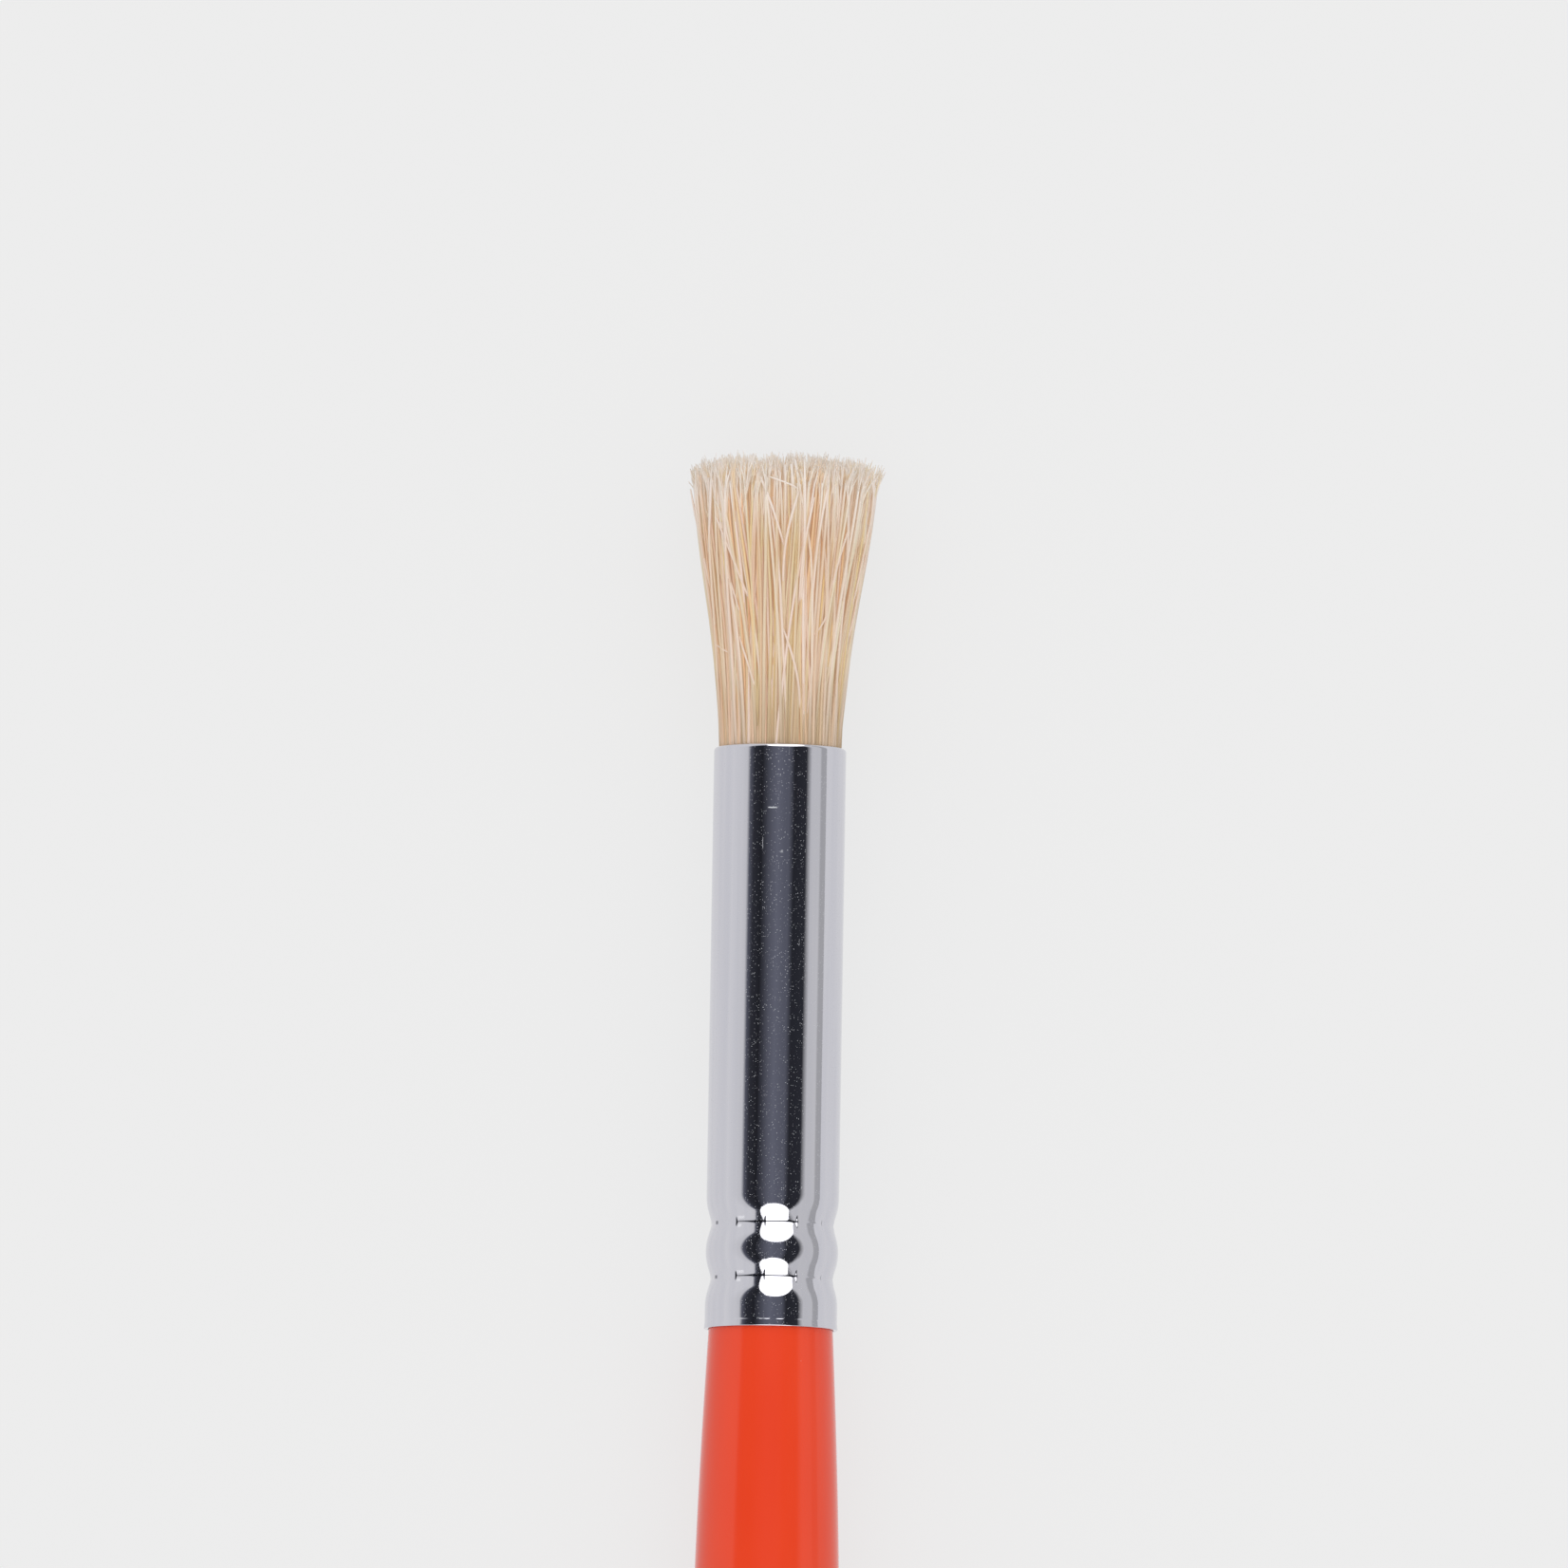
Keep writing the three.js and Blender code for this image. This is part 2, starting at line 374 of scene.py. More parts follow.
def lacquer_material():
    """Orange-red dipped lacquer: glossy, with a faint orange peel and a few specks in it."""
    deep_coat, light_coat = (0.865, 0.059, 0.0165, 1), (0.905, 0.069, 0.0195, 1)
    dark_speck, pale_speck = (0.2, 0.03, 0.02, 1), (0.85, 0.4, 0.3, 1)
    material, tree, shader = new_material("dipped_lacquer")
    place = brush_place(tree)
    peel = noise(tree, place, (0.9, 0.35, 0.9), detail=1.0)
    depth = noise(tree, place, (0.25, 0.05, 0.25))
    coat = mixed(tree, ranged(tree, depth, 0.0, 1.0), deep_coat, light_coat)
    dark = specks(tree, place, spacing=3.4, size=0.16, share=0.22)
    pale = specks(tree, stretched(tree, place, (1.0, 1.0, -1.0)), spacing=2.3, size=0.12, share=0.2)
    coat = mixed(tree, math_node(tree, "MULTIPLY", dark, 0.7), coat, dark_speck)
    coat = mixed(tree, math_node(tree, "MULTIPLY", pale, 0.35), coat, pale_speck)
    tree.links.new(coat, shader.inputs["Base Color"])
    tree.links.new(ranged(tree, depth, 0.09, 0.14), shader.inputs["Roughness"])
    tree.links.new(bump(tree, peel, 0.004), shader.inputs["Normal"])
    shader.inputs["IOR"].default_value = 1.46
    return material


def bristle_material(name, glow):
    """Bleached hog bristle: each hair has its own tint and hue. It is painted paler towards the tip, as
    painted light for light shining through the thinning hair, and darker near the ferrule, as painted shade.

    A real hair lets light through to the ones under it. A faint warm glow stands for that.
    """
    golden, straw = linear(231, 195, 142), linear(220, 190, 149)
    cream, ivory = linear(216, 192, 162), linear(229, 212, 200)
    # The second colour is painted shade for the hairs near the ferrule.
    streak_colour, root_shade_colour = linear(216, 172, 112), linear(160, 130, 96)
    # A near white painted on as light shining through the thin tips.
    tip_light_colour = linear(237, 231, 228)
    material, tree, shader = new_material(name)
    tint = add(tree, "ShaderNodeAttribute", attribute_name="tint").outputs["Fac"]
    hue = add(tree, "ShaderNodeAttribute", attribute_name="hue").outputs["Fac"]
    along = add(tree, "ShaderNodeAttribute", attribute_name="along").outputs["Fac"]
    place = brush_place(tree)
    streak = noise(tree, place, (7.0, 0.5, 7.0), detail=3.0)
    hair = colour_ramp(tree, tint, ((0.0, golden), (0.3, straw), (0.65, cream), (1.0, ivory)))
    hair = mixed(tree, ranged(tree, streak, 0.12, 0.0), hair, streak_colour)
    pink_to_olive = ranged(tree, hue, 0.476, 0.527, start=0.0, end=1.0)
    hair = add(tree, "ShaderNodeHueSaturation", {"Hue": pink_to_olive, "Color": hair}).outputs["Color"]
    # Painted shade: the hairs are painted darker near the ferrule, more so on the olive-hued ones.
    root_shade = ranged(tree, along, 0.55, 0.0, start=0.0, end=0.3)
    root_shade = math_node(tree, "MULTIPLY", root_shade, ranged(tree, hue, 0.0, 2.0, start=0.0, end=1.0))
    hair = mixed(tree, root_shade, hair, root_shade_colour)
    # Painted light: the hairs are painted paler towards the tip, most of all the pale outer ones.
    tip_light = ranged(tree, along, 0.0, 1.0, start=0.7, end=1.0)
    tip_light = math_node(tree, "MULTIPLY", tip_light, ranged(tree, tint, 0.3, 1.0, start=0.1, end=0.6))
    tip_light = math_node(tree, "MAXIMUM", tip_light, ranged(tree, along, 0.0, 1.0, start=0.92, end=1.02))
    tree.links.new(mixed(tree, tip_light, hair, tip_light_colour), shader.inputs["Base Color"])
    tree.links.new(ranged(tree, streak, 0.45, 0.6), shader.inputs["Roughness"])
    tree.links.new(bump(tree, streak, 0.01), shader.inputs["Normal"])
    shader.inputs["IOR"].default_value = 1.5
    shader.inputs["Emission Color"].default_value = (0.84, 0.7, 0.52, 1)
    shader.inputs["Emission Strength"].default_value = glow
    return material


def wood_material():
    """Straight-grained birch, for the handle under its coat."""
    dark_grain, pale_grain, pore = linear(196, 152, 98), linear(228, 196, 150), linear(150, 106, 64)
    material, tree, shader = new_material("birch_wood")
    place = brush_place(tree)
    grain = noise(tree, place, (2.2, 0.05, 2.2), detail=5.0, roughness=0.6)
    pores = noise(tree, place, (9.0, 0.5, 9.0), detail=2.0)
    wood = mixed(tree, ranged(tree, grain, 0.0, 1.0), dark_grain, pale_grain)
    wood = mixed(tree, ranged(tree, pores, 0.35, 0.0, start=0.3, end=0.42), wood, pore)
    tree.links.new(wood, shader.inputs["Base Color"])
    tree.links.new(ranged(tree, grain, 0.75, 0.6), shader.inputs["Roughness"])
    tree.links.new(bump(tree, pores, 0.03), shader.inputs["Normal"])
    return material


def thread_material():
    """Waxed cotton thread: slanting fibres across each turn, with painted shade in the grooves between the
    strands.
    """
    # The first colour is painted shade for the grooves, and the second is the lit strands.
    groove, lit_strand, wax = linear(196, 182, 152), linear(236, 228, 208), linear(168, 150, 118)
    material, tree, shader = new_material("cotton_thread")
    place = brush_place(tree)
    inputs = {"Vector": stretched(tree, place, (1.0, 3.0, 1.0)), "Scale": 2.2, "Distortion": 1.5}
    twist = add(tree, "ShaderNodeTexWave", inputs, bands_direction="DIAGONAL").outputs["Fac"]
    fibre = noise(tree, place, 14.0, detail=4.0)
    # Painted shade: the twist is painted as lit strands with shade in the grooves between them.
    thread = mixed(tree, twist, groove, lit_strand)
    thread = mixed(tree, ranged(tree, fibre, 0.3, 0.0), thread, wax)
    tree.links.new(thread, shader.inputs["Base Color"])
    tree.links.new(ranged(tree, fibre, 0.8, 0.95), shader.inputs["Roughness"])
    tree.links.new(bump(tree, twist, 0.06), shader.inputs["Normal"])
    return material


def cured_material(name, pale, deep, grain, roughness):
    """A cured resin or glue, uneven in depth, with trapped bubbles."""
    material, tree, shader = new_material(name)
    place = brush_place(tree)
    cloudy = noise(tree, place, grain, detail=4.0)
    bubbles = specks(tree, place, spacing=0.7, size=0.3, share=0.35)
    body = mixed(tree, ranged(tree, cloudy, 0.0, 1.0), deep, pale)
    body = mixed(tree, math_node(tree, "MULTIPLY", bubbles, 0.5), body, pale)
    tree.links.new(body, shader.inputs["Base Color"])
    tree.links.new(ranged(tree, cloudy, roughness, roughness * 1.6), shader.inputs["Roughness"])
    tree.links.new(bump(tree, math_node(tree, "SUBTRACT", cloudy, bubbles), 0.05), shader.inputs["Normal"])
    return material


# ---- Ferrule -------------------------------------------------------------------------------------------


def ferrule_angles():
    """Angles round the ferrule, close together at the seams between the crimping tool's jaws."""
    jaw = 360 / JAWS
    near_seam = [0.35, 0.7, 1.05, 1.5, 2.0, 2.6, 3.4, 4.2]
    middle = np.arange(5.0, jaw - 4.9, 2.5)
    within = [0.0, *near_seam, *middle, *[jaw - away for away in reversed(near_seam)]]
    return FIRST_SEAM + np.radians([jaw * number + degrees for number in range(JAWS) for degrees in within])


def from_seam(angles):
    """Degrees from the nearest seam between two jaws, and how much metal stands up at that seam."""
    turns = (angles - FIRST_SEAM) * JAWS / (2 * math.pi)
    nearest = np.round(turns)
    return (turns - nearest) * 360 / JAWS, np.array(SEAM_HEIGHTS)[nearest.astype(int) % JAWS]


def jaw_values(angles, draw, spread):
    """One random value for each jaw, held over its stretch and blended across its seams."""
    blend_share = 0.1
    values = draw.uniform(-spread, spread, JAWS)
    turns = (angles - FIRST_SEAM) * JAWS / (2 * math.pi)
    blend = np.clip((turns - np.floor(turns)) / blend_share, 0, 1)
    number = np.floor(turns).astype(int) % JAWS
    return values[number] * blend + values[number - 1] * (1 - blend)


def crimp_stations():
    """Stations through both crimps, closest together at the creases."""
    crowding = 1.7  # 1 would space them evenly
    half = CRIMP_HALF_WIDTH * np.linspace(0, 1, 24) ** crowding
    return [np.concatenate([centre - half[:0:-1], centre + half]) for centre in CRIMP_STATIONS]


def crimped(station, angles, draw):
    """How far the wall is pressed in: a V groove with flattened faces, one for each jaw."""
    ridge_height = 0.045  # metal pinched up between two jaws
    steep_side, gentle_side = 0.8, 1.1  # how far the ridge reaches to each side, in degrees
    ridge_reach = 0.33
    flatness = 0.13  # 1 would press a true polygon
    flat_reach = 0.4
    crease_wander = 0.03
    beside_seam, seam_height = from_seam(angles)
    ridge_width = np.where(beside_seam > 0, gentle_side, steep_side)
    ridge = ridge_height * seam_height * np.exp(-((beside_seam / ridge_width) ** 2))
    from_jaw_middle = np.radians(180 / JAWS - np.abs(beside_seam))
    corner = FERRULE_RADIUS * (1 / np.cos(from_jaw_middle) - 1) * flatness
    pressed = 0.0
    for centre in CRIMP_STATIONS:
        crease = centre + jaw_values(angles, draw, crease_wander)
        away = np.sqrt((station - crease) ** 2 + CREASE_ROUNDING**2) - CREASE_ROUNDING
        near = np.clip(1 - away / CRIMP_HALF_WIDTH, 0, 1)
        shoulder = np.minimum(near, CRIMP_SHOULDER) ** 2 / (2 * CRIMP_SHOULDER)
        straight = np.maximum(near - CRIMP_SHOULDER, 0)
        groove = CRIMP_DEPTH * (shoulder + straight) / (1 - CRIMP_SHOULDER / 2)
        raised = corner * np.exp(-((away / flat_reach) ** 2)) + ridge * np.exp(-((away / ridge_reach) ** 2))
        pressed = pressed + groove - raised
    return np.maximum(pressed, 0)


def scored(station, angles, draw):
    """The fine broken line where the mouth starts to flare."""
    depth = 0.009
    half_width = 0.05
    waves = (3, 8, 19, 37)  # round the tube
    phases = draw.uniform(0, 2 * math.pi, len(waves))
    broken = sum(np.sin(angles * count + phase) for count, phase in zip(waves, phases)) / len(waves)
    line = np.clip(1 - np.abs(station - BEND_STATION) / half_width, 0, 1)
    return depth * line * np.clip(0.5 + 1.2 * broken, 0, 1)


def ferrule_stations():
    """Stations along the outside from the mouth to the rim, close together at every bend."""
    quarter = np.sin(np.linspace(0, math.pi / 2, 9))
    mouth = MOUTH_ROUNDING * (1 - quarter[::-1])
    lip = [0.1, 0.16, 0.3]
    bend = BEND_STATION + np.linspace(-0.08, 0.08, 9)
    before_crimps = [0.9, 1.5]
    first, second = crimp_stations()
    second = second[1:]  # the crimps meet in one ring
    tube = np.arange(10.5, FERRULE_LENGTH - 1.0, 3.0)
    before_rim = [FERRULE_LENGTH - RIM_ROUNDING - gap for gap in (0.3, 0.08, 0.02)]
    rim = FERRULE_LENGTH - RIM_ROUNDING * (1 - quarter)
    return np.concatenate([mouth, lip, bend, before_crimps, first, second, tube, before_rim, rim])


def edge_rounding(radius, beyond):
    """How far a rounded edge falls away, at a distance beyond the start of its rounding."""
    return radius - np.sqrt(np.maximum(0, radius**2 - np.maximum(0, beyond) ** 2))


def mouth_flare(station):
    return MOUTH_FLARE * np.clip(1 - station / BEND_STATION, 0, 1)


def ferrule():
    draw = np.random.RandomState(SEED)
    angles = ferrule_angles()
    station = ferrule_stations()[:, None]
    press = crimped(station, angles, draw) + scored(station, angles, draw)
    at_mouth = edge_rounding(MOUTH_ROUNDING, MOUTH_ROUNDING - station)
    at_rim = edge_rounding(RIM_ROUNDING, station - (FERRULE_LENGTH - RIM_ROUNDING))
    outer = FERRULE_RADIUS + mouth_flare(station) - press - at_mouth - at_rim

    inner_station = station[::-1][::2]  # back down the inside, with half as many rings
    inner_press = crimped(inner_station, angles, np.random.RandomState(SEED))
    inner = FERRULE_RADIUS - FERRULE_WALL + mouth_flare(inner_station) - inner_press
    radius = np.concatenate([outer, inner])
    piece = turned("ferrule_shell", radius, np.concatenate([station, inner_station]), angles, hollow=True)
    return finished(piece, nickel_material(), "nickel", "ferrule")


# ---- Lacquered handle ----------------------------------------------------------------------------------


def handle_radius(distance):
    """Radius of the finished handle at a distance behind the ferrule, up to where the butt begins."""
    swell = np.sin(math.pi / 2 * np.minimum(1, distance / BELLY_DISTANCE))
    front = NECK_RADIUS + (BELLY_RADIUS - NECK_RADIUS) * swell
    along = (distance - BELLY_DISTANCE) / (HANDLE_LENGTH - BUTT_LENGTH - BELLY_DISTANCE)
    back = TAIL_RADIUS + (BELLY_RADIUS - TAIL_RADIUS) * (1 + np.cos(math.pi * along)) / 2
    return np.where(distance < BELLY_DISTANCE, front, back)


def handle_rings(inset, steps):
    """Radii and stations from the middle of the butt up to the ferrule."""
    first_angle = 0.02  # the middle of the butt is a small flat cap
    angle = np.linspace(first_angle, math.pi / 2, 14)
    butt_radius = (TAIL_RADIUS - inset) * np.sin(angle)
    butt_station = -(HANDLE_LENGTH - BUTT_LENGTH) - (BUTT_LENGTH - inset) * np.cos(angle)
    distance = np.linspace(HANDLE_LENGTH - BUTT_LENGTH, 0, steps)[1:]
    radius = np.concatenate([butt_radius, handle_radius(distance) - inset])
    return radius, np.concatenate([butt_station, -distance])


def coat_sag(radius, station, angles):
    """The slight unevenness of a dipped coat, which fades out towards the thin tail."""
    depth = 0.006
    even_radius, uneven_radius = 3.2, 4.6
    wandering = np.sin(station / 9.0 + 0.7 * np.sin(angles)) * np.sin(2 * angles + station / 31.0)
    return depth * wandering * np.clip((radius - even_radius) / (uneven_radius - even_radius), 0, 1)


def lacquered_handle():
    angles = round_angles(144)
    outer, outer_station = handle_rings(inset=0, steps=110)
    inner, inner_station = handle_rings(inset=LACQUER, steps=40)
    edge = LACQUER / 2 * np.cos(np.linspace(0, math.pi, 7))
    edge_radius = NECK_RADIUS - LACQUER / 2 + edge
    edge_station = LACQUER_OVERLAP - LACQUER / 2 + np.sqrt(np.maximum(0, (LACQUER / 2) ** 2 - edge**2))
    radius = np.concatenate([outer, edge_radius, inner[::-1]])[:, None]
    station = np.concatenate([outer_station, edge_station, inner_station[::-1]])[:, None]
    radius = radius + coat_sag(radius, station, angles)
    piece = turned("lacquered_handle", radius, station, angles)
    return finished(piece, lacquer_material(), "lacquer", "handle_lacquer")


# ---- Bristles ------------------------------------------------------------------------------------------


def tuft_radius(along):
    """Radius of the tuft at a fraction of its free length."""
    widening = along - HAIR_WAVE * np.sin(2 * math.pi * along)
    return HAIR_BASE_RADIUS + (HAIR_TIP_RADIUS - HAIR_BASE_RADIUS) * widening


def hair_radius(along):
    """Radius of the hairs themselves, which are drawn in a little halfway up."""
    return tuft_radius(along) - HAIR_WAIST * np.sin(math.pi * np.clip(along, 0, 1))


def clump_shift(across, height, draw, lengths, size, waves=9):
    """A smooth sideways push over the tips, so that neighbouring hairs gather and part."""
    shift = np.zeros((2, len(across)))
    for _ in range(waves):
        heading, phase = draw.uniform(0, 2 * math.pi, 2)
        length = draw.uniform(*lengths)
        push = draw.normal(0, size, 2)
        forward = across * math.cos(heading) + height * math.sin(heading)
        shift += push[:, None] * np.sin(2 * math.pi * forward / length + phase)
    return shift


def drifts(share, draw):
    """How far each hair turns about the brush's line, in radians, and whether it crosses the others."""
    shape = share.shape
    crossing_share = 0.27  # of the hairs near the tuft's side
    side_begins = 0.7
    slight = draw.normal(0, 0.08, shape)
    crossing = (draw.uniform(0, 1, shape) < crossing_share) & (share > side_begins)
    sign = draw.choice([-1.0, 1.0], shape)
    strong = sign * draw.uniform(0.1, 0.5, shape)
    return np.where(crossing, strong, slight), crossing


def above_floor(station, height, clearance):
    """Heights over the brush's line, raised where they would come closer to the floor than the clearance."""
    floor = -(MOUTH.z / MM + station * AXIS.z) / UP.z
    return np.maximum(height, floor + clearance)


def kept_inside(across, station, height, reached):
    """Draws hairs that stand too far out back to the tuft's side, and lifts those below the floor."""
    slack = 0.02
    most_outside, easing = 0.15, 0.3
    distance = np.hypot(across, height)
    limit = hair_radius(reached) - slack
    eased = limit + most_outside * np.tanh((distance - limit) / easing)
    squeeze = np.where(distance > limit, eased / np.maximum(distance, 1e-6), 1)
    return across * squeeze, above_floor(station, height * squeeze, clearance=0.15)


def hair_lengths(angle, share, draw):
    """Each hair's free length: nearly level, with some short hairs, and rounded off at the tuft's side."""
    longest = HAIR_LENGTH + 0.3
    unevenness = 0.26
    short_share = 0.07
    side_rounding = 0.8
    shape = share.shape
    length = longest - np.abs(draw.normal(0, unevenness, shape))
    short = draw.uniform(0, 1, shape) < short_share
    length = np.where(short, length - draw.uniform(0.4, 3.5, shape), length)
    waves = 0.15 * np.sin(5 * angle) + 0.18 * np.sin(11 * angle + 2) + 0.18 * np.sin(26 * angle)
    return length + share * waves - side_rounding * share**8


def free_stretches(angle, share, draw):
    """The hairs above the rim as (across, station, height), how far up each point is, and which cross."""
    count = len(share)
    side_gap, rim_gap = 0.1, 0.06  # between the hairs and the tuft's side, and as much more at the rim
    crossing_lift = 0.16
    length = hair_lengths(angle, share, draw)
    drift, crossing = drifts(share, draw)
    spread = draw.normal(0, 0.035, (count, 1))
    bow = draw.normal(0, 0.15, (count, 2))
    ripple = draw.normal(0, 0.08, (count, 2))
    phase = draw.uniform(0, 2 * math.pi, (count, 1))

    free = np.linspace(0, 1, FREE_RINGS)[None, :]
    reached = free * length / HAIR_LENGTH
    packed = hair_radius(reached) - side_gap - rim_gap * (1 - reached) ** 8
    lift = np.where(crossing, crossing_lift * np.sin(math.pi * np.minimum(1, reached * 1.15)), 0)
    radius = share * packed * (1 + spread * reached) + lift
    turn = angle + drift * reached ** np.where(crossing, 1.2, 1.6)
    across, height = radius * np.sin(turn), radius * np.cos(turn)

    shift = clump_shift(across[:, -1], height[:, -1], draw, lengths=(1.4, 4.5), size=0.1)
    gathered = reached**1.8
    sway = np.sin(math.pi * reached)
    swing = np.sin(3.2 * math.pi * reached + phase) * reached
    across = across + shift[0][:, None] * gathered + bow[:, :1] * sway + ripple[:, :1] * swing
    height = height + shift[1][:, None] * gathered + bow[:, 1:] * sway + ripple[:, 1:] * swing
    station = FERRULE_LENGTH + free * length
    across, height = kept_inside(across, station, height, reached)
    return np.stack([across, station, height], axis=-1), reached, crossing


def buried_stretches(angle, share):
    """The hairs below the rim as (across, station, height): at their root and at both ends of the thread."""
    depth = np.array([HAIR_ROOT_LENGTH - 0.05, 7.1, 4.9])
    radius = share * np.array([4.0, 3.9, 3.9])
    parts = np.broadcast_arrays(radius * np.sin(angle), FERRULE_LENGTH - depth, radius * np.cos(angle))
    return np.stack(parts, axis=-1)


def hair_lines(draw):
    """All the hairs' centre lines from root to tip, as (across, station, height).

    With them come how far up the free length each point is, each hair's share of the tuft's radius, and
    whether it crosses the others.
    """
    number = np.arange(HAIR_COUNT)
    share = ((number + 0.5) / HAIR_COUNT)[:, None] ** OUTWARD_CROWDING
    angle = (number * math.pi * (3 - math.sqrt(5)))[:, None]  # each is a golden angle on from the last
    buried = buried_stretches(angle, share)
    free, reached, crossing = free_stretches(angle, share, draw)
    along = np.concatenate([np.zeros(buried.shape[:2]), reached], axis=1)
    return np.concatenate([buried, free], axis=1), along, share[:, 0], crossing[:, 0]


def unit(vectors):
    return vectors / np.linalg.norm(vectors, axis=-1, keepdims=True)


def tubes(lines, radii, sides):
    """Points of round tubes along centre lines that all have as many points, by line, ring and side."""
    heading = unit(np.gradient(lines, axis=1))
    middle = lines.mean(axis=1, keepdims=True)
    outward = unit(middle * np.array([1, 0, 1]) + np.array([1e-4, 0, 1e-4]))
    first = unit(np.cross(heading, np.broadcast_to(outward, heading.shape)))
    second = np.cross(first, heading)
    angles = round_angles(sides)
    ring = first[:, :, None] * np.cos(angles)[:, None] + second[:, :, None] * np.sin(angles)[:, None]
    return lines[:, :, None] + ring * radii[:, :, None, None]


def tube_faces(count, rings, sides, start):
    """Faces of tubes() whose points follow each other from start."""
    # Their rings go round the other way from those of turned(), so their faces do too.
    one = [tuple(reversed(face)) for face in skin_faces(rings, sides)]
    starts = range(start, start + count * rings * sides, rings * sides)
    return [tuple(first + point for point in face) for first in starts for face in one]


def split_tips(lines, root_radius, along, tints, draw):
    """One to three fine flags from each hair's end, as tube lines with their radii, alongs and tints."""
    reach = 2.0
    flag_shares = (1.0, 0.9, 0.5)  # of the hairs have a first, a second and a third flag
    narrowing = np.array([0.66, 0.6, 0.25])
    before_tip = np.array([1, 0.5, 0]) * reach / HAIR_LENGTH
    mostly_sideways, bowed_back = np.array([1, 0.2, 1]), np.array([-0.2, 0, -0.2])
    end = lines[:, -1]
    heading = unit(lines[:, -1] - lines[:, -2])
    lean = clump_shift(end[:, 0], end[:, 2], draw, lengths=(0.7, 2.4), size=0.11)
    lean = np.stack([lean[0], np.zeros(len(lines)), lean[1]], axis=-1)
    made = []
    for flag_share in flag_shares:
        kept = draw.uniform(0, 1, len(lines)) < flag_share
        stray = draw.normal(0, 0.15, (len(lines), 3)) + lean
        grown = draw.uniform(0.75, 1.15, (len(lines), 1)) * reach
        start = end - heading * reach
        tip = start + heading * grown + stray * mostly_sideways
        middle = (start + tip) / 2 + stray * bowed_back
        line = np.stack([start, middle, tip], axis=1)[kept]
        line[..., 2] = above_floor(line[..., 1], line[..., 2], clearance=0.1)
        radii = root_radius[kept, None] * narrowing
        made.append((line, radii, along[kept, -1:] - before_tip, tints[kept]))
    return [np.concatenate(parts) for parts in zip(*made)]


def mark_points(piece, **values):
    """Gives the piece's points values that its material reads. Each is one number, or one for each point."""
    for label, value in values.items():
        attribute = piece.data.attributes.new(label, "FLOAT", "POINT")
        value = np.broadcast_to(value, len(piece.data.vertices))
        attribute.data.foreach_set("value", value.astype(np.float32))


def hair_mesh(name, groups, material):
    """One piece from groups of tubes: (lines, radii, alongs, tints, sides), each tint with its hue."""
    points, faces, alongs, tints = [], [], [], []
    start = 0
    for lines, radii, along, tint, sides in groups:
        count, rings = radii.shape
        skin = tubes(lines, radii, sides)
        points.append(placed(skin[..., 0], skin[..., 1], skin[..., 2]).reshape(-1, 3))
        faces += tube_faces(count, rings, sides, start)
        alongs.append(np.repeat(along.reshape(-1), sides))
        tints.append(np.repeat(tint, rings * sides, axis=0))
        start += count * rings * sides
    piece = mesh_object(name, np.concatenate(points), faces)
    tint, hue = np.concatenate(tints).T
    mark_points(piece, along=np.concatenate(alongs), tint=tint, hue=hue)
    return finished(piece, material, "bristle")


def loose_hairs():
    """Hairs that lie across the others on the upper side, each given by its two ends.

    A row is the place across and the station of one end, the same of the other, and the bow sideways.
    """
    rows = (
        (-4.8, 65.2, -2.7, 54.7, -0.5),
        (-5.3, 61.4, -2.6, 54.7, 0.15),
        (-4.0, 56.3, -3.2, 53.6, 0.1),
        (-5.3, 52.1, -3.9, 50.8, -0.05),
        (-3.3, 52.2, -1.9, 47.8, 0.1),
        (-2.3, 65.1, 0.1, 58.6, 0.15),
        (-1.3, 64.0, 1.1, 63.1, 0.1),
        (1.1, 62.9, 0.0, 55.6, -0.35),
        (1.5, 65.4, 1.4, 53.9, 0.1),
        (2.3, 62.5, 1.3, 54.4, -0.3),
        (3.4, 63.8, 2.3, 54.4, -0.3),
        (0.1, 52.6, 1.5, 46.2, 0.3),
        (3.4, 53.9, 2.3, 52.0, 0.05),
        (5.0, 60.5, 3.6, 54.8, -0.25),
        (7.2, 64.3, 5.2, 53.5, -0.2),
        (6.8, 65.2, 5.9, 58.0, 0.15),
        (6.8, 61.9, 4.8, 50.5, -0.1),
        (6.6, 64.6, 6.1, 59.4, 0.3),
        (-7.2, 63.6, -5.3, 54.5, 0.2),
        (-6.7, 65.0, -6.0, 59.0, -0.2),
        (-6.7, 62.0, -4.7, 50.0, 0.1),
        (-5.6, 64.7, -5.8, 57.5, 0.2),
    )
    fine, coarse = 0.055, 0.1
    coarse_length = 6.0
    proudest, tucked_tip, tucked_end = 0.1, 0.1, 0.5
    tint, hue, sides = 0.95, 0.3, 6
    steps = np.linspace(0, 1, 11)
    lines, radii = [], []
    for start_across, start_station, end_across, end_station, bow in rows:
        across = start_across + (end_across - start_across) * steps + bow * np.sin(math.pi * steps)
        station = start_station + (end_station - start_station) * steps
        outer = hair_radius((station - FERRULE_LENGTH) / HAIR_LENGTH)
        angle = np.arcsin(np.clip(across / outer, -1, 1))
        proud = proudest * np.sin(math.pi * steps) - tucked_tip * (1 - steps) ** 6 - tucked_end * steps**8
        radius = np.maximum(outer, np.abs(across)) + proud
        lines.append(np.stack([radius * np.sin(angle), station, radius * np.cos(angle)], axis=-1))
        coarseness = min(1, (start_station - end_station) / coarse_length)
        taper = np.interp(steps, [0, 0.15, 1], [0.5, 1, 0.9])
        radii.append((fine + (coarse - fine) * coarseness) * taper)
    lines, radii = np.array(lines), np.array(radii)
    along = (lines[..., 1] - FERRULE_LENGTH) / HAIR_LENGTH
    return lines, radii, along, np.tile((tint, hue), (len(lines), 1)), sides


